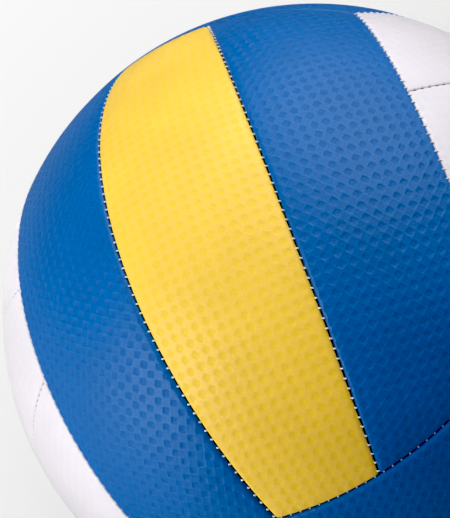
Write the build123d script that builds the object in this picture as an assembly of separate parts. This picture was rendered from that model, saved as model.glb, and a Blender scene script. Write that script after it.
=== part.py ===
from build123d import *
import math
import os

# Ball and laminate
BALL_DIAMETER = 210.0
SKIN_THICKNESS = 1.1
FOAM_THICKNESS = 3.0
LINING_THICKNESS = 0.6
GLUE_LINE = 0.05
BLADDER_WALL = 0.8
BLADDER_CLEARANCE = 0.1

# Panel layout, in degrees seen from the ball's centre
MIDDLE_STRIP_HALF_ANGLE = 13.5
FACE_SIDE_ANGLE = 39.5

# Seams
SEAM_GAP = 0.3
SEAM_ROLL = 2.0
THREAD_DIAMETER = 0.7
THREAD_CLEARANCE = 0.03
THREAD_END_TRIM = 1.1

# Valve
NEEDLE_BORE_DIAMETER = 2.1
NEEDLE_BORE_DEPTH = 11.0
NEEDLE_LEAD_IN = 0.3
CORE_DIAMETER = 4.4
CORE_COLLAR_DIAMETER = 5.4
CORE_COLLAR_LENGTH = 2.0
CORE_END_WALL = 2.0
CORE_CLEARANCE = 0.05
HOUSING_DIAMETER = 7.4
HOUSING_END_WALL = 1.2
HOUSING_FLANGE_DIAMETER = 26.0
HOUSING_FLANGE_THICKNESS = 1.2
VALVE_HOLE_CLEARANCE = 0.1
VALVE_RECESS = 0.4

BALL_RADIUS = BALL_DIAMETER / 2
HALF_GAP = SEAM_GAP / 2
SKIN_INNER_RADIUS = BALL_RADIUS - SKIN_THICKNESS
FOAM_OUTER_RADIUS = SKIN_INNER_RADIUS - GLUE_LINE
FOAM_INNER_RADIUS = FOAM_OUTER_RADIUS - FOAM_THICKNESS
LINING_OUTER_RADIUS = FOAM_INNER_RADIUS - GLUE_LINE
LINING_INNER_RADIUS = LINING_OUTER_RADIUS - LINING_THICKNESS
FLANGE_FOOT_RADIUS = LINING_INNER_RADIUS
BLADDER_OUTER_RADIUS = FLANGE_FOOT_RADIUS - BLADDER_CLEARANCE
BLADDER_INNER_RADIUS = BLADDER_OUTER_RADIUS - BLADDER_WALL

# Wall offsets from the seam's middle: the skin, then what lies inside its turned-in flange
FLANGE_INNER_OFFSET = HALF_GAP + SKIN_THICKNESS
FILLING_OFFSET = FLANGE_INNER_OFFSET + GLUE_LINE
REACH = 2 * BALL_RADIUS
CONE_LOW = BALL_RADIUS / 2

STRIP_ANGLE = math.radians(MIDDLE_STRIP_HALF_ANGLE)
SIDE_ANGLE = math.radians(FACE_SIDE_ANGLE)
CUBE_CORNER = 1 / math.sqrt(3)

# Each face seam lies on a cone from the ball's centre, through two cube corners and the side's middle
SIDE_NORMAL_LENGTH = math.hypot(math.cos(SIDE_ANGLE) - CUBE_CORNER, CUBE_CORNER - math.sin(SIDE_ANGLE))
SIDE_NORMAL_OUT = (math.cos(SIDE_ANGLE) - CUBE_CORNER) / SIDE_NORMAL_LENGTH
SIDE_NORMAL_UP = (CUBE_CORNER - math.sin(SIDE_ANGLE)) / SIDE_NORMAL_LENGTH
CONE_COSINE = (SIDE_NORMAL_OUT + SIDE_NORMAL_UP) * CUBE_CORNER
CONE_ANGLE = math.acos(CONE_COSINE)

# The thread's centre line, where it touches both rolled edges but for its clearance
THREAD_RADIUS = THREAD_DIAMETER / 2
THREAD_REACH = SEAM_ROLL + THREAD_RADIUS + THREAD_CLEARANCE
THREAD_DEPTH = SEAM_ROLL - math.sqrt(THREAD_REACH**2 - (HALF_GAP + SEAM_ROLL) ** 2)
THREAD_PATH_RADIUS = BALL_RADIUS - THREAD_DEPTH

# Heights of the valve's parts from the ball's centre
VALVE_TOP = BALL_RADIUS - VALVE_RECESS
CORE_BOTTOM = VALVE_TOP - NEEDLE_BORE_DEPTH - CORE_END_WALL
COLLAR_TOP = CORE_BOTTOM + CORE_COLLAR_LENGTH
HOUSING_BOTTOM = CORE_BOTTOM - CORE_CLEARANCE - HOUSING_END_WALL

DIAGONAL = Axis((0, 0, 0), (1, 1, 1))
# Turns that carry the top face to each face: half turns about X, then thirds of a turn about the diagonal
FACES = {
    "top": (0, 0),
    "bottom": (1, 0),
    "right": (0, 1),
    "left": (1, 1),
    "back": (0, 2),
    "front": (1, 2),
}
VALVE_FACE = "front"


def to_face(shape, face):
    """Carry a shape modelled on the top face to the named face."""
    half_turns, third_turns = FACES[face]
    return shape.rotate(Axis.X, 180 * half_turns).rotate(DIAGONAL, 120 * third_turns)


def ball(radius):
    """A sphere with its poles on X, clear of the top face."""
    return Rotation(0, 90, 0) * Sphere(radius)


def seam_cone(axis, wall_side, growth):
    """The cone inside a face seam, grown by an offset square to its wall, with its tip cut off."""
    apex = axis * (-growth / math.sin(CONE_ANGLE))
    low = CONE_LOW * CONE_COSINE
    slope = math.tan(CONE_ANGLE)
    plane = Plane(origin=apex + axis * low, x_dir=axis * axis.dot(wall_side) - wall_side, z_dir=axis)
    return Solid.make_cone(low * slope, (low + REACH) * slope, REACH, plane=plane)


def shell(outer_radius, inner_radius):
    """The whole ball between two radii."""
    return ball(outer_radius) - ball(inner_radius)


def within_ends(block, offset):
    """Keep what lies between the top face's two end seams."""
    for side in (1, -1):
        axis = Vector(side * SIDE_NORMAL_UP, 0, SIDE_NORMAL_OUT)
        block &= seam_cone(axis, Vector(side, 0, 0), -offset)
    return block


def beyond_strip_seam(side, offset):
    """The half space beyond a strip seam of the top face, on side +1 or -1 of Y."""
    half_space = Pos(0, side * (offset + REACH), 0) * Box(4 * REACH, 2 * REACH, 4 * REACH)
    return Rotation(-side * MIDDLE_STRIP_HALF_ANGLE, 0, 0) * half_space


def middle_block(outer_radius, inner_radius, offset):
    """The middle strip of the top face between two radii, with its walls set in by an offset."""
    block = within_ends(shell(outer_radius, inner_radius), offset)
    for side in (1, -1):
        block -= beyond_strip_seam(side, -offset)
    return block


def outer_block(outer_radius, inner_radius, offset):
    """The outer strip of the top face on the +Y side, with its walls set in by an offset."""
    block = within_ends(shell(outer_radius, inner_radius), offset) & beyond_strip_seam(1, offset)
    return block - seam_cone(Vector(0, SIDE_NORMAL_OUT, SIDE_NORMAL_UP), Vector(0, 0, 1), offset)


def roll_outer_edges(block, outer_radius, roll):
    """Round the edges where a block's walls meet its outer sphere."""
    tolerance = 0.01
    rim = [edge for edge in block.edges() if edge.position_at(0.5).length > outer_radius - tolerance]
    return fillet(rim, roll)


def strip_laminate(block):
    """The skin, foam and lining of one strip, from the function that makes its block."""
    skin = roll_outer_edges(block(BALL_RADIUS, FLANGE_FOOT_RADIUS, HALF_GAP), BALL_RADIUS, SEAM_ROLL)
    pocket_floor = FLANGE_FOOT_RADIUS - SKIN_THICKNESS
    skin -= block(SKIN_INNER_RADIUS, pocket_floor, FLANGE_INNER_OFFSET)
    foam = block(FOAM_OUTER_RADIUS, FOAM_INNER_RADIUS, FILLING_OFFSET)
    lining = block(LINING_OUTER_RADIUS, LINING_INNER_RADIUS, FILLING_OFFSET)
    return {"panel": skin, "foam": foam, "lining": lining}


def arc_tube(axis, start, angle, circle_radius, height):
    """A thread along part of a circle about an axis from the ball's centre."""
    plane = Plane(origin=axis * height, x_dir=start, z_dir=axis)
    return Solid.make_torus(circle_radius, THREAD_RADIUS, plane=plane, major_angle=angle)


def strip_seam_threads():
    """The top face's two threads, along the strip seams and short of the end seams."""
    lean = SIDE_NORMAL_OUT * math.cos(STRIP_ANGLE)
    end = math.atan2(SIDE_NORMAL_UP, lean) + math.acos(CONE_COSINE / math.hypot(lean, SIDE_NORMAL_UP))
    half = end - THREAD_END_TRIM / THREAD_PATH_RADIUS
    threads = []
    for side in (1, -1):
        up = Vector(0, side * math.sin(STRIP_ANGLE), math.cos(STRIP_ANGLE))
        start = up * math.cos(half) - Vector(math.sin(half), 0, 0)
        axis = up.cross(Vector(1, 0, 0))
        threads.append(arc_tube(axis, start, 2 * math.degrees(half), THREAD_PATH_RADIUS, 0))
    return threads


def side_seam_threads():
    """The threads along the top face's two long sides, short of the cube corners."""
    circle_radius = THREAD_PATH_RADIUS * math.sin(CONE_ANGLE)
    height = THREAD_PATH_RADIUS * CONE_COSINE
    half = math.asin(CUBE_CORNER / math.sin(CONE_ANGLE)) - THREAD_END_TRIM / circle_radius
    threads = []
    for side in (1, -1):
        axis = Vector(0, side * SIDE_NORMAL_OUT, SIDE_NORMAL_UP)
        middle = Vector(0, side * math.sin(SIDE_ANGLE), math.cos(SIDE_ANGLE)) - axis * CONE_COSINE
        start = middle.rotate(Axis((0, 0, 0), axis), -math.degrees(half))
        threads.append(arc_tube(axis, start, 2 * math.degrees(half), circle_radius, height))
    return threads


def on_valve_axis(shape):
    """Turn a shape modelled on +Z to the valve's place, on -Y."""
    return shape.rotate(Axis.X, 90)


def upright(diameter, low, high):
    """A cylinder on +Z between two heights from the ball's centre."""
    return Pos(0, 0, low) * Cylinder(diameter / 2, high - low, align=(Align.CENTER, Align.CENTER, Align.MIN))


def valve_core():
    """The rubber plug: a stem with a collar at its foot and a blind bore for the needle."""
    core = upright(CORE_DIAMETER, CORE_BOTTOM, VALVE_TOP)
    core += upright(CORE_COLLAR_DIAMETER, CORE_BOTTOM, COLLAR_TOP)
    core -= upright(NEEDLE_BORE_DIAMETER, VALVE_TOP - NEEDLE_BORE_DEPTH, VALVE_TOP)
    bore_radius = NEEDLE_BORE_DIAMETER / 2
    mouth_radius = bore_radius + NEEDLE_LEAD_IN
    lead_in = Cone(bore_radius, mouth_radius, NEEDLE_LEAD_IN, align=(Align.CENTER, Align.CENTER, Align.MAX))
    return on_valve_axis(core - Pos(0, 0, VALVE_TOP) * lead_in)


def valve_housing():
    """The rubber stem that holds the core, with the flange that bonds it inside the bladder."""
    flange_outer = BLADDER_INNER_RADIUS - GLUE_LINE
    flange = ball(flange_outer) - ball(flange_outer - HOUSING_FLANGE_THICKNESS)
    housing = upright(HOUSING_DIAMETER, HOUSING_BOTTOM, VALVE_TOP)
    housing += flange & upright(HOUSING_FLANGE_DIAMETER, 0, BALL_RADIUS)
    room = 2 * CORE_CLEARANCE
    housing -= upright(CORE_DIAMETER + room, COLLAR_TOP, VALVE_TOP)
    seat_low = CORE_BOTTOM - CORE_CLEARANCE
    seat_high = COLLAR_TOP + CORE_CLEARANCE
    collar_seat = upright(CORE_COLLAR_DIAMETER + room, seat_low, seat_high)
    return on_valve_axis(housing - collar_seat)


def bladder():
    """The closed rubber sphere, open only where the valve's stem passes."""
    return ball(BLADDER_OUTER_RADIUS) - ball(BLADDER_INNER_RADIUS) - valve_hole()


def valve_hole():
    """The hole that the valve's stem takes through every layer."""
    return on_valve_axis(upright(HOUSING_DIAMETER + 2 * VALVE_HOLE_CLEARANCE, 0, REACH))


def build_nodes():
    """Every named piece of the ball, in its place."""
    middle = strip_laminate(middle_block)
    outer = strip_laminate(outer_block)
    nodes = {}
    for face in FACES:
        for layer in ("panel", "foam", "lining"):
            strips = (outer[layer].rotate(Axis.Z, 180), middle[layer], outer[layer])
            for number, strip in enumerate(strips, start=1):
                nodes[f"{face}_{layer}_{number}"] = to_face(strip, face)
    for layer in ("panel", "foam", "lining"):
        nodes[f"{VALVE_FACE}_{layer}_2"] -= valve_hole()
    nodes["strip_seam_threads"] = Compound([to_face(t, face) for face in FACES for t in strip_seam_threads()])
    nodes["side_seam_threads"] = Compound([to_face(t, face) for face in FACES for t in side_seam_threads()])
    nodes["bladder"] = bladder()
    nodes["valve_housing"] = valve_housing()
    nodes["valve_core"] = valve_core()
    return nodes


def main():
    """Write one STEP file for each piece."""
    os.makedirs("parts", exist_ok=True)
    for name, shape in build_nodes().items():
        export_step(shape, f"parts/{name}.step")


main()
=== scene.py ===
"""A stitched volleyball: eighteen embossed, padded skins, their stitching, and a studio to see them in."""

import logging
import math
from dataclasses import dataclass, field
from enum import Enum

import bpy
import numpy as np
from mathutils import Matrix, Vector


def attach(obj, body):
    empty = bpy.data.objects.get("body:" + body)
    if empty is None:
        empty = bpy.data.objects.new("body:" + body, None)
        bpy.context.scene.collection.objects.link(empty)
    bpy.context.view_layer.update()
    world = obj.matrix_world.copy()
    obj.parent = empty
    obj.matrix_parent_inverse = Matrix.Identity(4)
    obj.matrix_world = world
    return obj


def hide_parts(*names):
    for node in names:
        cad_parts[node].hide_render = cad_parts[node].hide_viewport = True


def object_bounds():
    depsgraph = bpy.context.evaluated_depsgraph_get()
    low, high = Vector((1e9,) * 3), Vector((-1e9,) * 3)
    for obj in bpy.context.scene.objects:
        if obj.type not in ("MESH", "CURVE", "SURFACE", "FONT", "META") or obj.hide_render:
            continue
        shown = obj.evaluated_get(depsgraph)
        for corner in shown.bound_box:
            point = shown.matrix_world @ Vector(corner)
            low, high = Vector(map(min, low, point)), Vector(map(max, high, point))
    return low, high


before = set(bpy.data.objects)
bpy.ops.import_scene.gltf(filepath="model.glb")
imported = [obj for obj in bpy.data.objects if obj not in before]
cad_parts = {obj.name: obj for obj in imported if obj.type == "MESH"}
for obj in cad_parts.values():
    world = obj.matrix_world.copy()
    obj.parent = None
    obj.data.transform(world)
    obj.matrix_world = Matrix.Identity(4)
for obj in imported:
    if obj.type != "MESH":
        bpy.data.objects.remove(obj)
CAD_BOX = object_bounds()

LOG = logging.getLogger("volleyball")
BODY = "root"
MM = 0.001
TURN = 2.0 * math.pi
QUARTER = 0.5 * math.pi
CUBE_CORNER = 1.0 / math.sqrt(3.0)
BALL_RADIUS = 0.5 * (CAD_BOX[1][0] - CAD_BOX[0][0])
HALF_ROUND = np.diag([-1.0, -1.0, 1.0])
USUAL_LAY = math.radians(46.0)
LAST_LAY = math.radians(50.0)
NOISE_RANGE = (0.3, 0.7)
SHEEN_ROUGHNESS = 0.5
BLACK = (0.0, 0.0, 0.0, 1.0)
WHITE = (1.0, 1.0, 1.0, 1.0)
ONE_SQUARE = [(0, 1, 2, 3)]
GLOW_UNSEEN = ("diffuse", "glossy", "shadow")

Array = np.ndarray
Triple = tuple[float, float, float]
Colour = Triple
Span = tuple[float, float]
Block = tuple[Array, Array, Array]
Piece = bpy.types.Object
Socket = bpy.types.NodeSocket
Material = bpy.types.Material


class Face(Enum):
    """The six faces of three strips, each with the turns that bring the top face to it.

    The first number counts half turns about X and the second counts third turns about the corner (1, 1, 1).
    """

    TOP = (0, 0)
    BOTTOM = (1, 0)
    RIGHT = (0, 1)
    LEFT = (1, 1)
    BACK = (0, 2)
    FRONT = (1, 2)

    @property
    def white_edge(self) -> "Edge | None":
        """The kind of edge at which a coloured face's strips meet the white faces."""
        return {0: Edge.SIDE, 1: Edge.END}.get(self.value[1])

    @property
    def turn(self) -> Array:
        """The 3 by 3 matrix that turns the top face to this one."""
        halves, thirds = self.value
        half = np.diag([1.0, -1.0, -1.0])
        third = np.array([[0.0, 0.0, 1.0], [1.0, 0.0, 0.0], [0.0, 1.0, 0.0]])
        return np.linalg.matrix_power(third, thirds) @ np.linalg.matrix_power(half, halves)


class Row(Enum):
    """The three strips of a face, in the order of their numbers."""

    FIRST = 1
    MIDDLE = 2
    LAST = 3

    @property
    def turn(self) -> Array:
        """The first strip is the last one turned half round the face's middle."""
        return HALF_ROUND if self is Row.FIRST else np.eye(3)

    @property
    def lay(self) -> float:
        """How far the rows of dimples are turned from the strip's length, as it was cut from its sheet."""
        return LAST_LAY if self is Row.LAST else USUAL_LAY


class Seam(Enum):
    """The two kinds of seam: between the strips of one face, and between faces."""

    STRIP = "strip_seam"
    SIDE = "side_seam"


class Edge(Enum):
    """The edges of a strip: at its end, at another strip of its face, and along the side of its face."""

    END = "end"
    STRIP = "strip"
    SIDE = "side"

    @property
    def seam(self) -> Seam:
        """The kind of seam that the edge lies on."""
        return Seam.STRIP if self is Edge.STRIP else Seam.SIDE


@dataclass
class MeshArrays:
    """Points, faces and per-point values of one piece, gathered block by block."""

    points: list[Array] = field(default_factory=list)
    uvs: list[Array] = field(default_factory=list)
    depths: list[Array] = field(default_factory=list)
    faces: list[Array] = field(default_factory=list)
    count: int = 0

    def add_points(self, points: Array, uvs: Array, depths: Array) -> Array:
        """Adds a block of points.

        Args:
            points: Places, one row each.
            uvs: Pattern coordinates, one row each.
            depths: How deep in a seam each point looks, which sets its painted seam shade.

        Returns:
            The numbers that the points got.
        """
        self.points.append(points.reshape(-1, 3))
        self.uvs.append(uvs.reshape(-1, 2))
        self.depths.append(np.ravel(depths))
        first, self.count = self.count, self.count + len(self.points[-1])
        return np.arange(first, self.count)

    def add_faces(self, faces: Array) -> None:
        """Adds faces that all have the same number of corners, one row each."""
        self.faces.append(faces.reshape(-1, faces.shape[-1]))

    def make(self, name: str, turn: Array) -> Piece:
        """Makes the piece's object, smooth shaded, with its pattern map and the seam depth of its painted
        shade.

        Args:
            name: The object's name.
            turn: A 3 by 3 matrix that turns every point into place.

        Returns:
            The new object, at the origin.
        """
        points = np.concatenate(self.points) @ turn.T
        corners = np.concatenate([f.ravel() for f in self.faces])
        totals = np.concatenate([np.full(len(f), f.shape[1]) for f in self.faces])
        starts = np.concatenate([[0], np.cumsum(totals)[:-1]])
        mesh = bpy.data.meshes.new(name)
        mesh.vertices.add(len(points))
        mesh.vertices.foreach_set("co", points.ravel())
        mesh.loops.add(len(corners))
        mesh.loops.foreach_set("vertex_index", corners.astype(np.int32))
        mesh.polygons.add(len(totals))
        mesh.polygons.foreach_set("loop_start", starts.astype(np.int32))
        mesh.polygons.foreach_set("use_smooth", np.ones(len(totals), dtype=bool))
        mesh.update(calc_edges=True)
        layer = mesh.uv_layers.new(name="pattern")
        layer.data.foreach_set("uv", np.concatenate(self.uvs)[corners].ravel())
        depth = mesh.attributes.new("shaded_seam_depth", "FLOAT", "POINT")
        depth.data.foreach_set("value", np.concatenate(self.depths))
        piece = bpy.data.objects.new(name, mesh)
        bpy.context.scene.collection.objects.link(piece)
        return piece


def grid_faces(first: int, along: int, across: int, hole: int = 0) -> Array:
    """Faces of a grid of points, turned outward.

    Args:
        first: The number of the grid's first point.
        along: Cells along the grid.
        across: Cells across it.
        hole: Cells on each side of a square hole in the grid's middle.

    Returns:
        One row of four point numbers for each cell that is kept.
    """
    i, j = np.meshgrid(np.arange(along), np.arange(across), indexing="ij")
    in_hole = (abs(2 * i + 1 - along) < hole) & (abs(2 * j + 1 - across) < hole)
    low = (first + i * (across + 1) + j)[~in_hole]
    return np.stack([low, low + across + 1, low + across + 2, low + 1], axis=-1)


def grid_rim(along: int, across: int, low_i: int = 0, low_j: int = 0) -> tuple[Array, Array]:
    """Row and column numbers round a block of cells, anticlockwise seen from outside.

    Args:
        along: Cells along the block.
        across: Cells across it.
        low_i: The block's first row.
        low_j: The block's first column.

    Returns:
        The row numbers and the column numbers of the points on the block's rim.
    """
    up_i, up_j = np.arange(along), np.arange(across)
    i = np.concatenate([up_i, np.full(across, along), along - up_i, np.zeros(across, dtype=int)])
    j = np.concatenate([np.zeros(along, dtype=int), up_j, np.full(along, across), across - up_j])
    return i + low_i, j + low_j


def band_faces(inner: Array, outer: Array) -> Array:
    """Faces between two rings of points, where the outer ring lies further round the edge."""
    return np.stack([inner, outer, np.roll(outer, -1), np.roll(inner, -1)], axis=-1)


def fan_faces(fine: Array, coarse: Array) -> Array:
    """Faces that join a fine ring to a coarse one, each with one coarse edge and its share of fine ones.

    Args:
        fine: Numbers of the fine ring's points.
        coarse: Numbers of the coarse ring's points, a whole share of the fine ones.

    Returns:
        One row of point numbers for each coarse edge.
    """
    share = len(fine) // len(coarse)
    closed = np.append(fine, fine[:1])
    runs = closed[np.arange(len(coarse))[:, None] * share + np.arange(share, -1, -1)]
    return np.hstack([coarse[:, None], np.roll(coarse, -1)[:, None], runs])


def unit(vectors: Array) -> Array:
    """Vectors brought to length 1."""
    return vectors / np.linalg.norm(vectors, axis=-1, keepdims=True)


def smooth_step(value: Array, low: float, high: float) -> Array:
    """A smooth step from 0 at low to 1 at high: three squares of the share less two of its cubes."""
    share = np.clip((value - low) / (high - low), 0.0, 1.0)
    return share * share * (3.0 - 2.0 * share)


def rounded_drop(inside: Array, width: float, depth: float) -> Array:
    """The drop of an edge as a quarter of an ellipse, upright at 0 and level from the width inward."""
    lean = 1.0 - np.clip(inside / width, 0.0, 1.0)
    return depth * (1.0 - np.sqrt(1.0 - lean * lean))


def rounded_insets(width: float, steps: int) -> Array:
    """Distances inside such an edge, at equal angles of the ellipse from near its level end to its foot."""
    return width * (1.0 - np.cos(np.linspace(QUARTER, 0.0, steps + 1)[1:]))


@dataclass(frozen=True)
class SeamNet:
    """The seams of the top face as curves on a unit sphere; the other faces are turns of it.

    A direction is named by a, the angle along a strip from its middle, and p, the angle about the strips'
    own axis: (sin a, cos a sin p, cos a cos p). The strip seams are planes through that axis. The long
    sides and the ends are cones from the ball's centre that pass through the corners of a cube.
    """

    strip_half: float = math.radians(13.5)
    face_side: float = math.radians(39.5)
    rounds: int = 16

    @property
    def cone_axis(self) -> tuple[float, float]:
        """The outward and upward parts of a side seam's cone axis."""
        out = math.cos(self.face_side) - CUBE_CORNER
        up = CUBE_CORNER - math.sin(self.face_side)
        return out / math.hypot(out, up), up / math.hypot(out, up)

    @property
    def cone(self) -> float:
        """The cone's half angle, from its axis to a corner of the cube."""
        return math.acos(sum(self.cone_axis) * CUBE_CORNER)

    @staticmethod
    def way(a: Array, p: Array) -> Array:
        """The direction at the angles a and p: (sin a, cos a sin p, cos a cos p)."""
        return np.stack([np.sin(a), np.cos(a) * np.sin(p), np.cos(a) * np.cos(p)], axis=-1)

    def end_angle(self, p: Array, inset: float | Array) -> Array:
        """The angle along at which a strip ends, where its direction meets the end's cone less the inset."""
        out, up = self.cone_axis
        flat = out * np.cos(p)
        return np.arctan2(up, flat) + np.arccos(np.cos(self.cone - inset) / np.hypot(flat, up))

    def sides(self, row: Row, a: Array, inset: float | Array) -> tuple[Array, Array]:
        """The angles about the axis of a strip's two long sides, drawn in by the inset.

        A strip seam's offset is the arcsine of sin(inset) / cos a. A side seam lies where the direction
        makes the cone's half angle plus the inset with the cone's axis.

        Args:
            row: Which strip.
            a: Angles along the strip.
            inset: How far to stay inside the seams, as an angle.

        Returns:
            The lower and the upper side's angle at each a.
        """
        off = np.arcsin(np.sin(inset) / np.cos(a))
        if row is Row.MIDDLE:
            return off - self.strip_half, self.strip_half - off
        out, up = self.cone_axis
        side = np.arcsin(np.cos(self.cone + inset) / np.cos(a)) - math.atan2(up, out)
        return self.strip_half + off, side

    def patch(self, row: Row, s: Array, t: Array, inset: float | Array) -> Array:
        """Directions at the shares s along and t across a strip, both from -1 to 1.

        The end depends on the angle across and the sides on the angle along, so the two are worked out in
        turn until they settle.

        Args:
            row: Which strip.
            s: Shares along.
            t: Shares across.
            inset: How far inside the seams the strip is drawn, as an angle.

        Returns:
            Unit directions, one row for each pair of shares.
        """
        p = np.full_like(s, self.middle(row))
        for _ in range(self.rounds):
            a = s * self.end_angle(p, inset)
            low, high = self.sides(row, a, inset)
            p = 0.5 * ((1.0 - t) * low + (1.0 + t) * high)
        return self.way(a, p)

    def middle(self, row: Row) -> float:
        """The angle about the axis of a strip's middle line."""
        return 0.0 if row is Row.MIDDLE else 0.5 * (self.strip_half + self.face_side)

    def along_across(self, row: Row, way: Array) -> tuple[Array, Array]:
        """Angles along and across a strip from its middle line, as on a sheet laid on the ball.

        Args:
            row: Which strip.
            way: Unit directions.

        Returns:
            The angle along, about an axis square to the middle line, and the angle off that line.
        """
        p = self.middle(row)
        up = way[..., 1] * math.sin(p) + way[..., 2] * math.cos(p)
        side = way[..., 1] * math.cos(p) - way[..., 2] * math.sin(p)
        return np.arctan2(way[..., 0], up), np.arcsin(side)

    def distances(self, row: Row, way: Array) -> list[tuple[Edge, Array, Array]]:
        """The distance to each seam round a strip, and the place along that seam, both as angles.

        Args:
            row: Which strip.
            way: Unit directions.

        Returns:
            For each edge, its kind, how far inside its seam each direction lies, and how far along the seam
            from its middle.
        """
        x, y, z = way[..., 0], way[..., 1], way[..., 2]
        out, up = self.cone_axis
        level = math.sin(self.cone)
        found = []
        for sign in (1.0, -1.0):
            cosine = np.clip(sign * up * x + out * z, -1.0, 1.0)
            swing = np.arctan2(y, sign * out * x - up * z)
            found.append((Edge.END, self.cone - np.arccos(cosine), level * swing))
        seam_sine, seam_cosine = math.sin(self.strip_half), math.cos(self.strip_half)
        if row is Row.MIDDLE:
            for sign in (1.0, -1.0):
                inside = np.arcsin(seam_sine * z - sign * seam_cosine * y)
                found.append((Edge.STRIP, inside, np.arctan2(x, seam_cosine * z + sign * seam_sine * y)))
            return found
        inside = np.arcsin(seam_cosine * y - seam_sine * z)
        found.append((Edge.STRIP, inside, np.arctan2(x, seam_cosine * z + seam_sine * y)))
        cosine = np.clip(out * y + up * z, -1.0, 1.0)
        found.append((Edge.SIDE, np.arccos(cosine) - self.cone, level * np.arctan2(x, out * z - up * y)))
        return found

    def seam_length(self, seam: Seam) -> float:
        """Half of a seam's length as an angle of the ball."""
        if seam is Seam.STRIP:
            return float(self.end_angle(np.array(self.strip_half), 0.0))
        return math.asin(CUBE_CORNER / math.sin(self.cone)) * math.sin(self.cone)

    def seam_way(self, seam: Seam, along: Array) -> Array:
        """Directions at places along one seam of the top face, on its +Y side.

        A strip seam is an arc of a great circle, and a side seam an arc of a small circle about its cone's
        axis, which is the axis times the cosine of the half angle plus a turning arm times its sine.

        Args:
            seam: Which kind of seam.
            along: Places from the seam's middle, as angles of the ball.

        Returns:
            Unit directions, one row each.
        """
        if seam is Seam.STRIP:
            return self.way(along, np.full_like(along, self.strip_half))
        out, up = self.cone_axis
        swing = along / math.sin(self.cone)
        arm = np.stack([np.sin(swing), -up * np.cos(swing), out * np.cos(swing)], axis=-1)
        return math.cos(self.cone) * np.array([0.0, out, up]) + math.sin(self.cone) * arm


@dataclass(frozen=True)
class StitchRow:
    """How stitches are spaced along a seam: evenly, with the last ones a set distance from its ends."""

    net: SeamNet
    wanted_pitch: float = 2.88 * MM
    end_trim: float = 1.3 * MM

    def half_count(self, seam: Seam) -> int:
        """How many stitches there are on each side of a seam's middle one."""
        return round((self.net.seam_length(seam) * BALL_RADIUS - self.end_trim) / self.wanted_pitch)

    def pitch(self, seam: Seam) -> float:
        """The distance between stitches that fits a whole number of them on a seam."""
        return (self.net.seam_length(seam) * BALL_RADIUS - self.end_trim) / self.half_count(seam)

    def places(self, seam: Seam) -> Array:
        """Places of the stitches along a seam from its middle, as lengths."""
        count = self.half_count(seam)
        return np.arange(-count, count + 1) * self.pitch(seam)

    def near_stitch(self, seam: Seam, along: Array, tightness: float) -> Array:
        """Nearness to a stitch, 1 at it and 0 midway: 1 less a power of half of 1 less a cosine."""
        return 1.0 - (0.5 - 0.5 * np.cos(TURN * along / self.pitch(seam))) ** tightness


@dataclass(frozen=True)
class Emboss:
    """Shallow square dimples with round corners on one colour of a chequerboard, and a net on the other.

    A cosine of the place along a row, with half a wave to a square, falls from 1 in a square's middle to 0
    at its edge, and so does one across the rows. What each is short of 1 makes a rounded distance from
    the middle, a root of the sum of their powers, and a smooth step of that shapes the dimple.
    """

    side: float = 2.46 * MM
    depth: float = 0.115 * MM
    power: float = 2.4
    low: float = 0.0
    high: float = 0.90

    def sunk(self, u: Array, v: Array) -> Array:
        """How far each place is sunk, from 0 on the net to 1 at the bottom of a dimple.

        Args:
            u: Places along the rows, in squares.
            v: Places across the rows, in squares.

        Returns:
            The sunk share at each place.
        """
        wave_u, wave_v = np.cos(math.pi * u), np.cos(math.pi * v)
        short = (1.0 - abs(wave_u)) ** self.power + (1.0 - abs(wave_v)) ** self.power
        inner = 1.0 - short ** (1.0 / self.power)
        return smooth_step(inner, self.low, self.high) * (wave_u * wave_v > 0.0)


@dataclass(frozen=True)
class RolledEdge:
    """How a skin turns down into its seams.

    The edge is a quarter of an ellipse, upright where it meets the gap. A shallow crown leads up to it. Each
    stitch draws the gap together and pulls a small pucker into the edge.
    """

    half_gap: float = 0.12 * MM
    drawn_share: float = 0.4
    tightness: float = 1.0
    width: float = 1.5 * MM
    depth: float = 1.25 * MM
    crown_width: float = 13.0 * MM
    crown_depth: float = 0.45 * MM
    pucker_depth: float = 0.18 * MM
    pucker_reach: float = 1.1 * MM
    # The next three set the painted seam shade: how much less is painted near a stitch, what share of the
    # drop is painted, and how deep the gap's walls are painted.
    lit_share: float = 0.0
    shade_share: float = 1.0
    wall_shade_depth: float = 5.0 * MM
    steps: int = 8

    def gap(self, near_stitch: Array) -> Array:
        """Half the gap's width: full between stitches, and drawn together at each one."""
        return self.half_gap * (1.0 - (1.0 - self.drawn_share) * near_stitch)

    def drop(self, distance: Array, near_stitch: Array) -> Array:
        """How far the skin lies below the ball at a distance from one seam.

        Args:
            distance: Distances from the seam's middle.
            near_stitch: How near a stitch each place is, from 0 to 1.

        Returns:
            The drop: the ellipse, the crown's square and the stitches' puckers, added up.
        """
        inside = np.maximum(distance - self.gap(near_stitch), 0.0)
        roll = rounded_drop(inside, self.width, self.depth)
        crown = self.crown_depth * (1.0 - np.clip(inside / self.crown_width, 0.0, 1.0)) ** 2
        return roll + crown + self.pucker_depth * near_stitch * np.exp(-inside / self.pucker_reach)

    def shaded(self, drop: Array, near_stitch: Array) -> Array:
        """The depth of a place's painted seam shade: a share of its drop, less where a stitch holds it up.
        """
        return self.shade_share * drop * (1.0 - self.lit_share * near_stitch)


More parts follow.
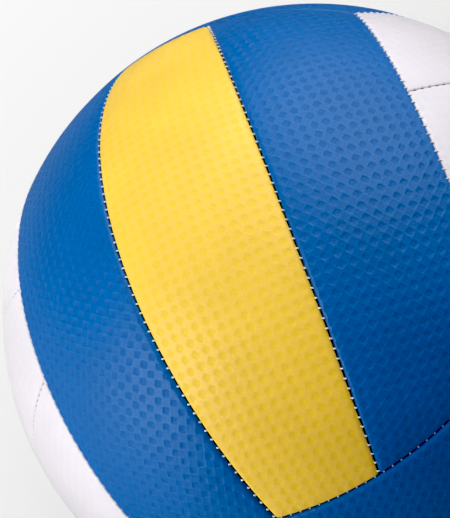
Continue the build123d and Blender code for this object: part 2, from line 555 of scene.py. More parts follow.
@dataclass(frozen=True)
class ValveHole:
    """The round hole for the valve in the middle of one strip, with a soft lip."""

    radius: float = 3.82 * MM
    lip_width: float = 0.9 * MM
    lip_depth: float = 0.7 * MM
    block_cells: int = 24
    spread_rings: int = 6
    lip_rings: int = 5

    def drop(self, distance: Array) -> Array:
        """How far the skin dips at a distance from the hole's middle: a quarter of an ellipse."""
        return rounded_drop(distance - self.radius, self.lip_width, self.lip_depth)

    def rings(self, rim: Array) -> list[Array]:
        """Rings of places that lead from a square rim to the hole's edge.

        Args:
            rim: Flat places on the square rim, one row each.

        Returns:
            Flat places of each ring, the last one on the hole's edge.
        """
        arm = unit(rim)
        outer = arm * (self.radius + self.lip_width)
        shares = np.linspace(0.0, 1.0, self.spread_rings + 1)[1:]
        insets = rounded_insets(self.lip_width, self.lip_rings)
        return [rim + share * (outer - rim) for share in shares] + [arm * (self.radius + d) for d in insets]


@dataclass
class SkinShape:
    """The shape of one kind of strip skin: an embossed tray whose edges turn in round its foam."""

    row: Row
    net: SeamNet
    rolls: dict[Edge, RolledEdge]
    emboss: Emboss
    stitches: StitchRow
    cells_along: int
    cells_across: int = 104
    hole: ValveHole | None = None
    skin: float = 1.1 * MM
    foot_radius: float = 100.25 * MM
    under_margin: float = 2.0 * MM
    share: int = 8
    fade: Span = (0.4 * MM, 1.4 * MM)
    corner_power: float = 4.0

    @property
    def roll(self) -> RolledEdge:
        """The rolled edge that reaches furthest from its seam, which sets the rings of the mesh."""
        return max(self.rolls.values(), key=lambda roll: roll.half_gap + roll.width)

    def near_stitch(self, edge: Edge, along: Array) -> Array:
        """How near a stitch each place along an edge is, from 0 to 1, with the edge's own tightness."""
        return self.stitches.near_stitch(edge.seam, along * BALL_RADIUS, self.rolls[edge].tightness)

    def rows(self, way: Array) -> Array:
        """Places along and across the rows of dimples, in squares, turned by the strip's lay."""
        u, v = self.net.along_across(self.row, way)
        cosine, sine = math.cos(self.row.lay), math.sin(self.row.lay)
        turned = np.stack([u * cosine + v * sine, v * cosine - u * sine], axis=-1)
        return turned * BALL_RADIUS / self.emboss.side

    def at_edge(self, way: Array) -> tuple[Array, Array]:
        """The gap and the depth of the seam that is nearest to each direction.

        Args:
            way: Unit directions.

        Returns:
            Half the gap's width, and how deep the gap's walls look, which sets their painted seam shade.
        """
        found = self.net.distances(self.row, way)
        nearest = np.argmin([distance for _, distance, _ in found], axis=0)
        gaps = [self.rolls[edge].gap(self.near_stitch(edge, along)) for edge, _, along in found]
        depths = [self.rolls[edge].wall_shade_depth for edge, _, _ in found]
        return np.choose(nearest, gaps), np.choose(nearest, depths)

    def surface(self, way: Array) -> Block:
        """The skin's outer surface.

        The radius is the ball's, less the drops of the seams, less the dimples, which fade out on the rolled
        edges. The drops are joined as the fourth root of the sum of their fourth powers, which rounds the
        corners.

        Args:
            way: Unit directions.

        Returns:
            The places, the pattern coordinates in rows of dimples, and how deep in a seam each place looks,
            which sets its painted seam shade.
        """
        rows = self.rows(way)
        powers = np.zeros(way.shape[:-1])
        shades = np.zeros(way.shape[:-1])
        nearest = np.full(way.shape[:-1], np.inf)
        for edge, distance, along in self.net.distances(self.row, way):
            roll, near_stitch = self.rolls[edge], self.near_stitch(edge, along)
            drop = roll.drop(distance * BALL_RADIUS, near_stitch)
            powers += drop ** self.corner_power
            # Painted seam shade: each place takes the deepest painted shade of its seams.
            shades = np.maximum(shades, roll.shaded(drop, near_stitch))
            nearest = np.minimum(nearest, distance * BALL_RADIUS - roll.half_gap)
        depth = powers ** (1.0 / self.corner_power)
        if self.hole:
            reach = np.hypot(way[..., 0], way[..., 1]) * BALL_RADIUS
            depth = depth + self.hole.drop(reach)
            # Painted shade down the valve's lip, by its drop.
            shades = np.maximum(shades, self.hole.drop(reach))
            nearest = np.minimum(nearest, reach - self.hole.radius)
        sunk = self.emboss.sunk(rows[..., 0], rows[..., 1]) * smooth_step(nearest, *self.fade)
        radius = BALL_RADIUS - depth - self.emboss.depth * sunk
        return way * radius[..., None], rows, shades

    def deep(self, way: Array, radius: float) -> Block:
        """Places of the hidden walls and underside at a radius, with pattern coordinates and painted shade
        depth.
        """
        return way * radius, self.rows(way), self.at_edge(way)[1]

    @staticmethod
    def shares(i: Array, j: Array, along: int, across: int) -> tuple[Array, Array]:
        """Shares from -1 to 1 of grid rows and columns."""
        return 2.0 * i / along - 1.0, 2.0 * j / across - 1.0

    def grid(self, along: int, across: int, inset: float) -> Array:
        """Directions of a grid of points on the strip, drawn in by the inset."""
        i, j = np.meshgrid(np.arange(along + 1.0), np.arange(across + 1.0), indexing="ij")
        s, t = self.shares(i, j, along, across)
        return self.net.patch(self.row, s, t, inset / BALL_RADIUS)

    def build(self) -> MeshArrays:
        """Works the skin out as one closed shell.

        The outer grid is followed by the rings of the rolled edge, the wall down to the foot, the foot, the
        wall up to the underside, and a coarser grid for the underside.

        Returns:
            The shell's points and faces, on the top face.
        """
        shell = MeshArrays()
        along, across, share = self.cells_along, self.cells_across, self.share
        hole_cells = self.hole.block_cells if self.hole else 0
        outer_way = self.grid(along, across, self.roll.half_gap + self.roll.width)
        outer = shell.add_points(*self.surface(outer_way)).reshape(along + 1, across + 1)
        shell.add_faces(grid_faces(0, along, across, hole_cells))
        rim = grid_rim(along, across)
        s, t = self.shares(*rim, along, across)
        ring = outer[rim]
        gap, _ = self.at_edge(self.net.patch(self.row, s, t, self.roll.half_gap / BALL_RADIUS))
        for inset in rounded_insets(self.roll.width, self.roll.steps):
            way = self.net.patch(self.row, s, t, (gap + inset) / BALL_RADIUS)
            ring = self.join(shell, ring, self.surface(way))
        inner_way = self.net.patch(self.row, s, t, (self.roll.half_gap + self.skin) / BALL_RADIUS)
        under_radius = BALL_RADIUS - self.skin
        ring = self.join(shell, ring, self.deep(way, self.foot_radius))
        ring = self.join(shell, ring, self.deep(inner_way, self.foot_radius))
        ring = self.join(shell, ring, self.deep(inner_way, under_radius))
        few_along, few_across = along // share, across // share
        under_way = self.grid(few_along, few_across, self.roll.half_gap + self.skin + self.under_margin)
        first = shell.count
        under = shell.add_points(*self.deep(under_way, under_radius)).reshape(few_along + 1, few_across + 1)
        shell.add_faces(grid_faces(first, few_along, few_across, hole_cells // share)[:, ::-1])
        shell.add_faces(fan_faces(ring, under[grid_rim(few_along, few_across)]))
        if self.hole:
            self.cut_hole(shell, outer, outer_way, under)
        return shell

    def join(self, shell: MeshArrays, ring: Array, block: Block, inward: bool = False) -> Array:
        """Adds a ring of points and the band of faces from the last ring to it.

        Args:
            shell: The skin so far.
            ring: Numbers of the last ring's points.
            block: The new ring's places, pattern coordinates and depths.
            inward: Whether the new ring lies nearer to the strip's middle, as round the valve.

        Returns:
            The numbers of the new ring's points.
        """
        new_ring = shell.add_points(*block)
        shell.add_faces(band_faces(new_ring, ring) if inward else band_faces(ring, new_ring))
        return new_ring

    def cut_hole(self, shell: MeshArrays, outer: Array, outer_way: Array, under: Array) -> None:
        """Closes the square hole in the middle of the grids down to the valve's round hole.

        Args:
            shell: The skin so far.
            outer: Numbers of the outer grid's points.
            outer_way: Their directions.
            under: Numbers of the underside's points.
        """
        cells, few = self.hole.block_cells, self.hole.block_cells // self.share
        low_i, low_j = (self.cells_along - cells) // 2, (self.cells_across - cells) // 2
        rim = grid_rim(cells, cells, low_i, low_j)
        ring = outer[rim]
        for flat in self.hole.rings(outer_way[rim][:, :2] * BALL_RADIUS):
            x, y = flat.T / BALL_RADIUS
            way = np.stack([x, y, np.sqrt(1.0 - x * x - y * y)], axis=-1)
            ring = self.join(shell, ring, self.surface(way), inward=True)
        ring = self.join(shell, ring, self.deep(way, BALL_RADIUS - self.skin), inward=True)
        under_rim = under[grid_rim(few, few, low_i // self.share, low_j // self.share)]
        shell.add_faces(fan_faces(ring, under_rim)[:, ::-1])


class NodeSheet:
    """A material's nodes, with short calls that add them and join them up."""

    def __init__(self, name: str) -> None:
        """Starts a material with one shader.

        Args:
            name: The material's name.
        """
        self.material = bpy.data.materials.new(name)
        self.material.use_nodes = True
        self.tree = self.material.node_tree
        self.shader = self.tree.nodes["Principled BSDF"]

    def feed(self, socket: Socket, value: object) -> None:
        """Joins another node's output to a socket, or sets the socket's own value."""
        if isinstance(value, Socket):
            self.tree.links.new(value, socket)
        else:
            socket.default_value = value

    def shade(self, **values: object) -> None:
        """Feeds the shader's sockets, named with underscores for spaces."""
        for name, value in values.items():
            self.feed(self.shader.inputs[name.replace("_", " ")], value)

    def node(self, kind: str, inputs: dict[int | str, object], **settings: object) -> bpy.types.Node:
        """Adds a node.

        Args:
            kind: The node's type.
            inputs: Values or outputs for its sockets.
            **settings: Its own properties.

        Returns:
            The new node.
        """
        node = self.tree.nodes.new(kind)
        for name, value in settings.items():
            setattr(node, name, value)
        for key, value in inputs.items():
            self.feed(node.inputs[key], value)
        return node

    def math(self, operation: str, *values: object) -> Socket:
        """A sum, product, cosine or the like of one or two values."""
        return self.node("ShaderNodeMath", dict(enumerate(values)), operation=operation).outputs[0]

    def times(self, first: object, second: object) -> Socket:
        """The product of two values."""
        return self.math("MULTIPLY", first, second)

    def ramp(self, value: object, low: float, high: float, start: object = 0.0, end: object = 1.0) -> Socket:
        """A smooth step of a value from start at low to end at high."""
        inputs = {0: value, 1: low, 2: high, 3: start, 4: end}
        return self.node("ShaderNodeMapRange", inputs, interpolation_type="SMOOTHSTEP").outputs[0]

    def blend(self, share: object, first: object, second: object, mode: str = "MIX") -> Socket:
        """A mix of two colours."""
        inputs = {0: share, 6: opaque(first), 7: opaque(second)}
        return self.node("ShaderNodeMix", inputs, data_type="RGBA", blend_type=mode).outputs[2]

    def noise(self, place: object, scale: float, detail: float = 2.0, roughness: float = 0.5) -> Socket:
        """A cloud of noise on a place, from about 0.3 to 0.7."""
        inputs = {"Vector": place, "Scale": scale, "Detail": detail, "Roughness": roughness}
        return self.node("ShaderNodeTexNoise", inputs).outputs[0]

    def waver(self, place: object, scale: float, reach: float) -> Socket:
        """A place that wanders: three clouds of noise, less their middle of a half, times the reach.

        Args:
            place: The place.
            scale: The clouds' scale.
            reach: How far the place would move for a cloud of 1.

        Returns:
            The moved place.
        """
        clouds = self.node("ShaderNodeTexNoise", {"Vector": place, "Scale": scale}).outputs["Color"]
        inputs = {0: clouds, 1: (0.5, 0.5, 0.5)}
        shift = self.node("ShaderNodeVectorMath", inputs, operation="SUBTRACT").outputs[0]
        inputs = {0: shift, 1: (reach, reach, reach), 2: place}
        return self.node("ShaderNodeVectorMath", inputs, operation="MULTIPLY_ADD").outputs[0]

    def object_place(self) -> Socket:
        """The place on the object, in metres."""
        return self.node("ShaderNodeTexCoord", {}).outputs["Object"]

    def pattern_place(self) -> Socket:
        """The place on the piece's own pattern map."""
        return self.node("ShaderNodeUVMap", {}, uv_map="pattern").outputs[0]

    def bump(self, height: object, distance: float, strength: float = 0.5) -> Socket:
        """A bumped normal from a height between 0 and 1."""
        inputs = {"Height": height, "Strength": strength, "Distance": distance}
        return self.node("ShaderNodeBump", inputs).outputs[0]


def opaque(value: object) -> object:
    """A colour with its alpha added, or an output as it is."""
    return (*value, 1.0) if isinstance(value, tuple) and len(value) == 3 else value


@dataclass(frozen=True)
class SkinFinish:
    """An embossed plastic skin: matt dimples in a smoother, glossier net, with a fine grain over both."""

    name: str
    net: Colour
    dimple: Colour
    # seam and the depths after it: the near-black colour of painted shade in a seam's groove, and the depths
    # over which it is painted in.
    seam: Colour = (0.004, 0.004, 0.005)
    seam_shade_depths: Span = (1.2 * MM, 1.6 * MM)
    plain_depths: Span = (0.55 * MM, 1.0 * MM)
    gloss_depths: Span = (0.5 * MM, 1.2 * MM)
    net_roughness: float = 0.37
    dimple_roughness: float = 0.55
    edge_roughness: float = 0.28
    specular: float = 0.54
    sheen: float = 0.10
    waver: float = 0.22
    waver_scale: float = 1.4
    edge: Span = (0.05, 0.42)
    dimple_height: float = 0.25
    ridge_reach: float = 0.70
    ridge_height: float = 0.30
    # Painted highlight: how much lighter the ridges between squares are painted, standing in for their
    # glints.
    painted_ridge_highlight: float = 0.08
    grain_depth: float = 0.20 * MM
    grain_scale: float = 4.5
    grain_gloss: float = 0.05
    fleck: float = 0.07
    fleck_scale: float = 4.2
    fleck_range: Span = (0.38, 0.62)
    cloud_scale: float = 35.0
    cloud_shades: Span = (0.95, 1.04)
    emboss: Emboss = Emboss()

    def squares(self, sheet: NodeSheet, place: Socket) -> tuple[Socket, Socket]:
        """Works out the squares by the same cosines as the mesh's relief.

        Args:
            sheet: The material's nodes.
            place: The place in squares.

        Returns:
            The way into a square, from 0 at its edge to 1 in its middle, and 1 on the dimples' squares.
        """
        parts = sheet.node("ShaderNodeSeparateXYZ", {0: place})
        waves = [sheet.math("COSINE", sheet.times(parts.outputs[n], math.pi)) for n in (0, 1)]
        shorts = [sheet.math("SUBTRACT", 1.0, sheet.math("ABSOLUTE", wave)) for wave in waves]
        powers = [sheet.math("POWER", short, self.emboss.power) for short in shorts]
        root = sheet.math("POWER", sheet.math("ADD", *powers), 1.0 / self.emboss.power)
        return sheet.math("SUBTRACT", 1.0, root), sheet.math("GREATER_THAN", sheet.times(*waves), 0.0)

    def material(self) -> Material:
        """Makes the finish.

        The sunk share of a place sets the colour and the gloss, and with the ridges between squares and a
        fine grain, the bump. Soft clouds vary the colour, the ridges are painted lighter as a painted
        highlight of their glints, the rolled edges are plain and glossier, and the skin is painted darker
        where it goes down into a seam, a painted shade of the groove.

        Returns:
            The new material.
        """
        sheet = NodeSheet(self.name)
        place = sheet.pattern_place()
        inner, chequer = self.squares(sheet, sheet.waver(place, self.waver_scale, self.waver))
        depth = sheet.node("ShaderNodeAttribute", {}, attribute_name="shaded_seam_depth").outputs["Fac"]
        relief = sheet.ramp(depth, *self.plain_depths, 1.0, 0.0)
        sunk = sheet.times(sheet.ramp(inner, *self.edge), sheet.times(chequer, relief))
        ridge = sheet.times(sheet.ramp(inner, 0.0, self.ridge_reach, 1.0, 0.0), relief)
        grain = sheet.noise(place, self.grain_scale, detail=3.0, roughness=0.6)
        fleck = sheet.noise(place, self.fleck_scale)
        cloud = sheet.noise(sheet.object_place(), self.cloud_scale, detail=3.0)
        light_fleck = sheet.ramp(fleck, *self.fleck_range, 1.0 - self.fleck, 1.0 + self.fleck)
        shade = sheet.times(sheet.ramp(cloud, *NOISE_RANGE, *self.cloud_shades), light_fleck)
        # Painted highlight: the ridges are painted a little lighter, standing in for their glints; the
        # clouds and flecks before it are the skin's own tone.
        shade = sheet.times(shade, sheet.ramp(ridge, 0.0, 1.0, 1.0, 1.0 + self.painted_ridge_highlight))
        tone_and_painted_highlight = sheet.node("ShaderNodeCombineXYZ", {0: shade, 1: shade, 2: shade}).outputs[0]
        colour = sheet.blend(1.0, sheet.blend(sunk, self.net, self.dimple), tone_and_painted_highlight, "MULTIPLY")
        # Painted seam shade: the colour goes over to the dark seam colour as the seam depth grows, standing
        # in for the shade in the groove.
        colour = sheet.blend(sheet.ramp(depth, *self.seam_shade_depths), colour, self.seam)
        rough = sheet.ramp(sunk, 0.0, 1.0, self.net_roughness, self.dimple_roughness)
        rough = sheet.ramp(depth, *self.gloss_depths, rough, self.edge_roughness)
        fine = sheet.ramp(grain, *NOISE_RANGE, -self.grain_gloss, self.grain_gloss)
        raised = sheet.math("ADD", grain, sheet.times(ridge, self.ridge_height))
        height = sheet.math("SUBTRACT", raised, sheet.times(sunk, self.dimple_height))
        sheet.shade(Base_Color=colour, Roughness=sheet.math("ADD", rough, fine))
        sheet.shade(Sheen_Weight=self.sheen, Sheen_Roughness=SHEEN_ROUGHNESS)
        sheet.shade(Specular_IOR_Level=self.specular, Normal=sheet.bump(height, self.grain_depth))
        return sheet.material


@dataclass(frozen=True)
class ThreadFinish:
    """Bonded white polyester thread, with the twist of its plies and a little fuzz."""

    name: str = "thread_white"
    slot: str = "thread"
    colour: Colour = (0.82, 0.84, 0.89)
    # shade: the colour of the painted shade in the grooves between plies.
    shade: Colour = (0.58, 0.60, 0.66)
    plies: float = 3.0
    twist: float = 2.0
    ply_edge: float = 0.7
    ply_depth: float = 0.08 * MM
    ply_relief: float = 0.6
    fuzz_scale: float = 9000.0
    fuzz_range: Span = (0.25, 0.6)
    fuzz_shade: float = 0.8
    roughness: float = 0.62
    sheen: float = 0.25

    def material(self) -> Material:
        """Makes the finish, with painted shade in dark lines between plies where a sine of the places along
        and round is 0.

        Returns:
            The new material.
        """
        sheet = NodeSheet(self.name)
        parts = sheet.node("ShaderNodeSeparateXYZ", {0: sheet.pattern_place()})
        turns = sheet.math("ADD", sheet.times(parts.outputs[0], self.twist * TURN),
                           sheet.times(parts.outputs[1], self.plies * TURN))
        ply = sheet.math("ABSOLUTE", sheet.math("SINE", sheet.times(turns, 0.5)))
        fuzz = sheet.noise(sheet.object_place(), self.fuzz_scale)
        worn = sheet.ramp(fuzz, *self.fuzz_range, self.fuzz_shade)
        full = sheet.times(sheet.ramp(ply, 0.0, self.ply_edge), worn)
        # Painted shade: the grooves between plies are painted towards the shade colour.
        sheet.shade(Base_Color=sheet.blend(full, self.shade, self.colour), Roughness=self.roughness)
        sheet.shade(Sheen_Weight=self.sheen, Sheen_Roughness=SHEEN_ROUGHNESS)
        sheet.shade(Normal=sheet.bump(full, self.ply_depth, self.ply_relief))
        return sheet.material


@dataclass(frozen=True)
class InnerFinish:
    """The finish of a layer or valve part: a base colour, clouded and grained at its own scale."""

    name: str
    colour: Colour
    cloud_colour: Colour
    roughness: float
    cloud_scale: float
    grain_scale: float
    grain_depth: float
    grain_gloss: float = 0.07

    def material(self) -> Material:
        """Makes the finish: two colours in soft clouds, with a fine grain in the gloss and the bump.

        Returns:
            The new material.
        """
        sheet = NodeSheet(self.name)
        place = sheet.object_place()
        cloud = sheet.noise(place, self.cloud_scale, detail=3.0)
        grain = sheet.noise(place, self.grain_scale, detail=3.0, roughness=0.6)
        colour = sheet.blend(sheet.ramp(cloud, *NOISE_RANGE), self.colour, self.cloud_colour)
        limits = (self.roughness - self.grain_gloss, self.roughness + self.grain_gloss)
        sheet.shade(Base_Color=colour, Roughness=sheet.ramp(grain, *NOISE_RANGE, *limits))
        sheet.shade(Normal=sheet.bump(grain, self.grain_depth))
        return sheet.material


def put_on(piece: Piece, material: Material, node: str, slot: str) -> None:
    """Dresses a piece, which rides on the body in place of a solid.

    Args:
        piece: The piece's object.
        material: Its material.
        node: The node that it stands for.
        slot: The material slot's name in the model; not used.
    """
    piece.data.materials.append(material)
    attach(piece, BODY)
    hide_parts(node)


@dataclass
class PanelSkins:
    """The eighteen skins of the ball, each in place of its solid."""

    net: SeamNet
    stitches: StitchRow
    middle_cells: int = 376
    outer_cells: int = 312
    fill: float = 0.95
    valve_face: Face = Face.FRONT
    white_faces: tuple[Face, ...] = (Face.FRONT, Face.BACK)
    blue: SkinFinish = SkinFinish("skin_blue", (0.0, 0.121, 0.402), (0.0, 0.112, 0.378))
    # Yellow: the net's bluer colour than the dimples' is painted reflection, standing in for the glossy veil
    # on the net; the small drop in the dimples' red and green is their own tone.
    yellow: SkinFinish = SkinFinish(
        "skin_yellow", (0.945, 0.622, 0.096), (0.918, 0.609, 0.054), grain_depth=0.12 * MM, fleck=0.02,
        edge=(-0.15, 0.40), ridge_height=0.0, painted_ridge_highlight=0.0, emboss=Emboss(depth=0.08 * MM, power=2.1))
    # The white skin's seam colour is a grey painted shade in its seams and on the walls of its gaps.
    white: SkinFinish = SkinFinish(
        "skin_white", (0.775, 0.735, 0.795), (0.760, 0.722, 0.778),
        seam=(0.22, 0.19, 0.21), seam_shade_depths=(0.32 * MM, 0.62 * MM), sheen=0.6, grain_depth=0.08 * MM,
        fleck=0.01, ridge_height=0.0, painted_ridge_highlight=0.0, emboss=Emboss(depth=0.03 * MM))
    coloured_roll: RolledEdge = RolledEdge()
    tight_roll: RolledEdge = RolledEdge(
        half_gap=0.05 * MM, width=0.8 * MM, depth=0.45 * MM, crown_width=10.0 * MM, crown_depth=0.15 * MM)
    # The white strip seams' lit_share and tightness keep the painted seam shade off near each stitch, which
    # paints dark dots between the stitches.
    white_roll: RolledEdge = RolledEdge(
        half_gap=0.36 * MM, drawn_share=0.08, tightness=4.0, width=0.7 * MM, depth=0.45 * MM,
        crown_width=8.0 * MM, crown_depth=0.12 * MM, lit_share=0.8)
    white_side_roll: RolledEdge = RolledEdge(
        half_gap=0.05 * MM, drawn_share=0.2, width=0.7 * MM, depth=0.40 * MM, crown_width=8.0 * MM,
        crown_depth=0.12 * MM, shade_share=0.35, wall_shade_depth=0.40 * MM)

    def rolls(self, finish: SkinFinish, white_edge: Edge | None) -> dict[Edge, RolledEdge]:
        """The roll of each kind of a strip's edges; those that meet a white face are sewn up tight."""
        if finish is self.white:
            return {edge: self.white_roll if edge is Edge.STRIP else self.white_side_roll for edge in Edge}
        return {edge: self.tight_roll if edge is white_edge else self.coloured_roll for edge in Edge}

    def shape(self, row: Row, finish: SkinFinish, hole: ValveHole | None, edge: Edge | None) -> MeshArrays:
        """The shell of one kind of strip, of which one kind of edge may meet a white face."""
        cells = self.middle_cells if row is Row.MIDDLE else self.outer_cells
        rolls = self.rolls(finish, edge)
        return SkinShape(row, self.net, rolls, finish.emboss, self.stitches, cells, hole=hole).build()

    def finish(self, face: Face, row: Row) -> SkinFinish:
        """The finish of a strip: white faces are white all over, and the others yellow between two blues."""
        if face in self.white_faces:
            return self.white
        return self.yellow if row is Row.MIDDLE else self.blue

    def build(self) -> list[Piece]:
        """Builds and dresses all the skins.

        Returns:
            The eighteen objects.
        """
        dress = {finish: finish.material() for finish in (self.blue, self.yellow, self.white)}
        shells = {}
        made = []
        for face in Face:
            for row in Row:
                finish = self.finish(face, row)
                hole = ValveHole() if row is Row.MIDDLE and face is self.valve_face else None
                kind = (row, finish, hole, face.white_edge)
                if kind not in shells:
                    shells[kind] = self.shape(*kind)
                node = f"{face.name.lower()}_panel_{row.value}"
                piece = shells[kind].make(f"{node}_skin", face.turn @ row.turn)
                put_on(piece, dress[finish], node, finish.name)
                made.append(piece)
        return made


@dataclass(frozen=True)
class Stitch:
    """The sizes of one stitch: its reach to each side, how deep its top lies, its slant and its arch."""

    half_span: float
    top_depth: float
    slant: float = 0.16 * MM
    arch: float = 0.45 * MM


@dataclass
class Stitching:
    """The short stitches that cross every seam, each an arched length of thread that dives into both skins.

    A stitch's line runs across the seam with a slight slant, and falls away from its middle as the square
    of the distance. A ring of points round that line, a little thinner at the ends, makes its tube.
    """

    seam: Seam
    net: SeamNet
    row: StitchRow
    thread: ThreadFinish
    open_stitch: Stitch = Stitch(0.42 * MM, 0.82 * MM)
    sunk_stitch: Stitch = Stitch(0.36 * MM, 1.26 * MM)
    tight_stitch: Stitch = Stitch(0.9 * MM, 0.22 * MM, arch=0.30 * MM)
    thread_radius: float = 0.26 * MM
    end_taper: float = 0.18
    spans: int = 4
    sides: int = 6
    nudge: float = 1e-4

    def stitch(self, face: Face) -> Stitch:
        """The stitch of a face's seams: open between strips, sunk between colours, tight at white faces."""
        if self.seam is Seam.STRIP:
            return self.open_stitch
        return self.sunk_stitch if face.white_edge is Edge.END else self.tight_stitch

    def tubes(self, stitch: Stitch, turn: Array) -> Array:
        """Points of all the stitches of one seam.

        Args:
            stitch: The sizes of each stitch.
            turn: A 3 by 3 matrix that turns the seam into place.

        Returns:
            Points by stitch, by ring along it, and by side round it.
        """
        along = self.row.places(self.seam) / BALL_RADIUS
        out = self.net.seam_way(self.seam, along)
        ahead = self.net.seam_way(self.seam, along + self.nudge)
        run = unit(ahead - self.net.seam_way(self.seam, along - self.nudge))
        over = np.cross(out, run)
        q = np.linspace(-1.0, 1.0, self.spans + 1)[:, None]
        run, over, out = run[:, None, :], over[:, None, :], out[:, None, :]
        reach = over * stitch.half_span + run * stitch.slant
        line = out * (BALL_RADIUS - stitch.top_depth - stitch.arch * q * q) + reach * q
        head = unit(reach - out * 2.0 * stitch.arch * q)
        side = unit(run - head * np.sum(run * head, axis=-1, keepdims=True))
        rise = np.cross(side, head)
        angle = np.linspace(0.0, TURN, self.sides, endpoint=False)[:, None]
        radius = self.thread_radius * (1.0 - self.end_taper * q * q)[..., None]
        ring = np.cos(angle) * side[..., None, :] + np.sin(angle) * rise[..., None, :]
        return (line[..., None, :] + radius * ring) @ turn.T

    def build(self) -> Piece:
        """Builds and dresses the stitches of all the seams of this kind.

        Returns:
            The object that holds them.
        """
        seams = [(self.stitch(face), face.turn @ side) for face in Face for side in (np.eye(3), HALF_ROUND)]
        tubes = np.concatenate([self.tubes(stitch, turn) for stitch, turn in seams])
        shape = tubes.shape[:-1]
        u, v = np.linspace(0.0, 1.0, self.spans + 1), np.arange(self.sides) / self.sides
        uvs = np.stack(np.meshgrid(u, v, indexing="ij"), axis=-1)
        mesh = MeshArrays()
        numbers = mesh.add_points(tubes, np.broadcast_to(uvs, (*shape, 2)), np.zeros(shape)).reshape(shape)
        here, there = numbers[:, :-1], numbers[:, 1:]
        walls = [here, there, np.roll(there, -1, axis=-1), np.roll(here, -1, axis=-1)]
        mesh.add_faces(np.stack(walls, axis=-1))
        mesh.add_faces(numbers[:, 0])
        mesh.add_faces(numbers[:, -1, ::-1])
        piece = mesh.make(f"{self.seam.value}_stitches", np.eye(3))
        put_on(piece, self.thread.material(), f"{self.seam.value}_threads", self.thread.slot)
        return piece


@dataclass
class InnerParts:
    """The layers under the skins and the valve, which keep their solids and get their own finishes."""

    foam: InnerFinish = InnerFinish(
        "foam_cells", (0.70, 0.66, 0.52), (0.60, 0.55, 0.42), 0.9, 220.0, 2600.0, 0.2 * MM)
    lining: InnerFinish = InnerFinish(
        "lining_weave", (0.62, 0.61, 0.58), (0.52, 0.51, 0.48), 0.85, 400.0, 3200.0, 0.1 * MM)
    bladder: InnerFinish = InnerFinish(
        "bladder_butyl", (0.012, 0.012, 0.013), (0.022, 0.021, 0.021), 0.5, 60.0, 1800.0, 0.05 * MM)
    valve: InnerFinish = InnerFinish(
        "valve_butyl", (0.075, 0.075, 0.079), (0.105, 0.103, 0.101), 0.42, 300.0, 5000.0, 0.04 * MM)

    def finish(self, node: str) -> InnerFinish | None:
        """The finish of a node by its name, or none where a piece of this script stands for it."""
        kinds = {"_foam_": self.foam, "_lining_": self.lining, "bladder": self.bladder, "valve_": self.valve}
        return next((finish for word, finish in kinds.items() if word in node), None)

    def dress(self) -> int:
        """Gives every kept solid its finish.

        Returns:
            How many solids there are.
        """
        finishes = {name: self.finish(name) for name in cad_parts}
        kept = {name: finish for name, finish in finishes.items() if finish}
        every = (self.foam, self.lining, self.bladder, self.valve)
        materials = {finish: finish.material() for finish in every}
        for name, finish in kept.items():
            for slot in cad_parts[name].material_slots:
                slot.material = materials[finish]
        return len(kept)


@dataclass(frozen=True)
class SoftBox:
    """A rectangle of soft light that faces the ball, and that the ball's gloss mirrors or not."""

    name: str
    azimuth: float
    elevation: float
    distance: float
    width: float
    height: float
    power: float
    mirrored: bool = True

    def hang(self) -> None:
        """Hangs the light at its angles round the ball, facing the ball's middle."""
        around, rise = math.radians(self.azimuth), math.radians(self.elevation)
        level = math.cos(rise)
        way = Vector((level * math.cos(around), level * math.sin(around), math.sin(rise)))
        light = bpy.data.lights.new(self.name, "AREA")
        light.shape = "RECTANGLE"
        light.size, light.size_y, light.energy = self.width, self.height, self.power
        lamp = bpy.data.objects.new(self.name, light)
        lamp.location = way * self.distance
        lamp.rotation_euler = (-way).to_track_quat("-Z", "Y").to_euler()
        lamp.visible_camera, lamp.visible_glossy = False, self.mirrored
        bpy.context.scene.collection.objects.link(lamp)


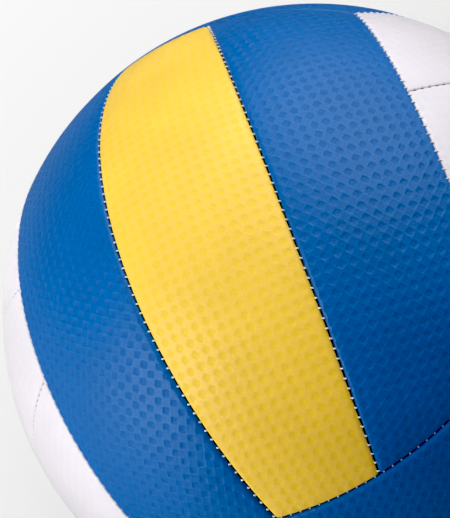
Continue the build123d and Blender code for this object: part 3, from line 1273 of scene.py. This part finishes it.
@dataclass
class Studio:
    """A pale floor and backdrop, soft lights and the camera, whose place is in radii of the ball."""

    room_radius: float = 6.0
    backdrop_cells: int = 48
    backdrop_low: float = -0.1
    paper: Colour = (0.66, 0.66, 0.66)
    paper_cloud: Colour = (0.68, 0.68, 0.68)
    cloud_scale: float = 1.5
    matt: float = 0.9
    glow: float = 0.95
    glow_reach: Span = (0.06, 0.34)
    glow_height: float = 0.5 * MM
    lens: float = 90.25
    sensor: float = 36.0
    clip: Span = (0.01, 50.0)
    place: Triple = (-1.6249, -0.8213, 3.8740)
    right: Triple = (-0.3002, -0.8731, -0.3841)
    up: Triple = (0.8482, -0.4286, 0.3112)
    back: Triple = (-0.4364, -0.2324, 0.8692)
    lights: tuple[SoftBox, ...] = (
        SoftBox("high_front", 10.0, 55.0, 1.5, 1.4, 1.4, 10.0, mirrored=False),
        SoftBox("high_right", -60.0, 55.0, 1.5, 1.4, 1.4, 10.7, mirrored=False),
        SoftBox("left_box", 112.0, 44.0, 1.1, 0.65, 0.9, 5.3),
        SoftBox("right_box", -48.0, 30.0, 1.2, 1.5, 1.15, 8.8),
        SoftBox("rim_box", 115.0, 4.0, 1.1, 1.2, 0.35, 8.3, mirrored=False),
        SoftBox("side_box", 78.0, 6.0, 1.1, 0.5, 0.4, 0.32),
    )
    sky: float = 0.01
    black_level: float = 0.032

    def square(self, level: float) -> list[Triple]:
        """The corners of a level square as wide as the room."""
        half = self.room_radius
        return [(-half, -half, level), (half, -half, level), (half, half, level), (-half, half, level)]

    def floor(self) -> None:
        """Lays the paper that the ball rests on."""
        sheet = NodeSheet("floor_paper")
        cloud = sheet.noise(sheet.object_place(), self.cloud_scale)
        colour = sheet.blend(sheet.ramp(cloud, *NOISE_RANGE), self.paper, self.paper_cloud)
        sheet.shade(Base_Color=colour, Roughness=self.matt, Specular_IOR_Level=0.0)
        self.put_up("floor", self.square(CAD_BOX[0][2]), ONE_SQUARE, sheet.material, ("glossy",))

    def haze(self) -> None:
        """Lays an even glow over the far floor, clear at the ball, that is seen but gives no light."""
        sheet = self.glow_sheet("floor_haze")
        inputs = {0: sheet.object_place()}
        away = sheet.node("ShaderNodeVectorMath", inputs, operation="LENGTH").outputs["Value"]
        sheet.shade(Alpha=sheet.ramp(away, *self.glow_reach))
        level = CAD_BOX[0][2] + self.glow_height
        self.put_up("haze", self.square(level), ONE_SQUARE, sheet.material, GLOW_UNSEEN)

    def backdrop(self) -> None:
        """Hangs a dome behind everything: a grid of the angles round and up, seen but giving no light."""
        cells = self.backdrop_cells
        turns, rises = np.linspace(0.0, TURN, cells + 1), np.linspace(self.backdrop_low, QUARTER, cells + 1)
        around, up = np.meshgrid(turns, rises, indexing="ij")
        points = SeamNet.way(up, around).reshape(-1, 3)[:, [1, 2, 0]] * self.room_radius
        faces = grid_faces(0, cells, cells).tolist()
        self.put_up("backdrop", points, faces, self.glow_sheet("backdrop_paper").material, GLOW_UNSEEN)

    def glow_sheet(self, name: str) -> NodeSheet:
        """The nodes of a material that glows evenly and mirrors nothing."""
        sheet = NodeSheet(name)
        sheet.shade(Base_Color=BLACK, Roughness=self.matt, Specular_IOR_Level=0.0)
        sheet.shade(Emission_Color=WHITE, Emission_Strength=self.glow)
        return sheet

    def put_up(self, name: str, points: Array | list[Triple], faces: list, material: Material,
               unseen: tuple[str, ...]) -> None:
        """Puts up a piece of the stage.

        Args:
            name: The piece's name.
            points: Its points, one row each.
            faces: Its faces, as rows of point numbers.
            material: Its material.
            unseen: The kinds of ray that pass through it.
        """
        mesh = bpy.data.meshes.new(name)
        mesh.from_pydata(points, [], faces)
        mesh.materials.append(material)
        piece = bpy.data.objects.new(name, mesh)
        for ray in unseen:
            setattr(piece, f"visible_{ray}", False)
        bpy.context.scene.collection.objects.link(piece)

    def camera(self) -> None:
        """Sets up the camera from its place and its three axes."""
        data = bpy.data.cameras.new("camera")
        data.lens, data.sensor_width = self.lens, self.sensor
        data.clip_start, data.clip_end = self.clip
        camera = bpy.data.objects.new("camera", data)
        place = np.multiply(self.place, BALL_RADIUS)
        rows = np.column_stack([self.right, self.up, self.back, place]).tolist()
        camera.matrix_world = Matrix((*rows, (0.0, 0.0, 0.0, 1.0)))
        bpy.context.scene.collection.objects.link(camera)
        bpy.context.scene.camera = camera

    def surroundings(self) -> None:
        """Fills the room with a plain pale light and shows colours as they are."""
        world = bpy.data.worlds.new("room")
        world.use_nodes = True
        shade = world.node_tree.nodes["Background"]
        shade.inputs["Color"].default_value = WHITE
        shade.inputs["Strength"].default_value = self.sky
        bpy.context.scene.world = world
        response = bpy.context.scene.view_settings
        response.view_transform = "Standard"
        response.use_curve_mapping = True
        response.curve_mapping.black_level = (self.black_level,) * 3
        response.curve_mapping.update()

    def build(self) -> None:
        """Builds the whole studio."""
        self.floor()
        self.haze()
        self.backdrop()
        for box in self.lights:
            box.hang()
        self.surroundings()
        self.camera()


def main() -> None:
    """Builds the skins, the stitching, the inner parts and the studio, in that order."""
    logging.basicConfig(level=logging.INFO, format="%(name)s: %(message)s")
    net, thread = SeamNet(), ThreadFinish()
    row = StitchRow(net)
    pieces = PanelSkins(net, row).build()
    pieces += [Stitching(seam, net, row, thread).build() for seam in Seam]
    for piece in pieces:
        LOG.info("%s: %d faces", piece.name, len(piece.data.polygons))
    LOG.info("inner parts dressed: %d", InnerParts().dress())
    Studio().build()


if __name__ == "__main__":
    main()
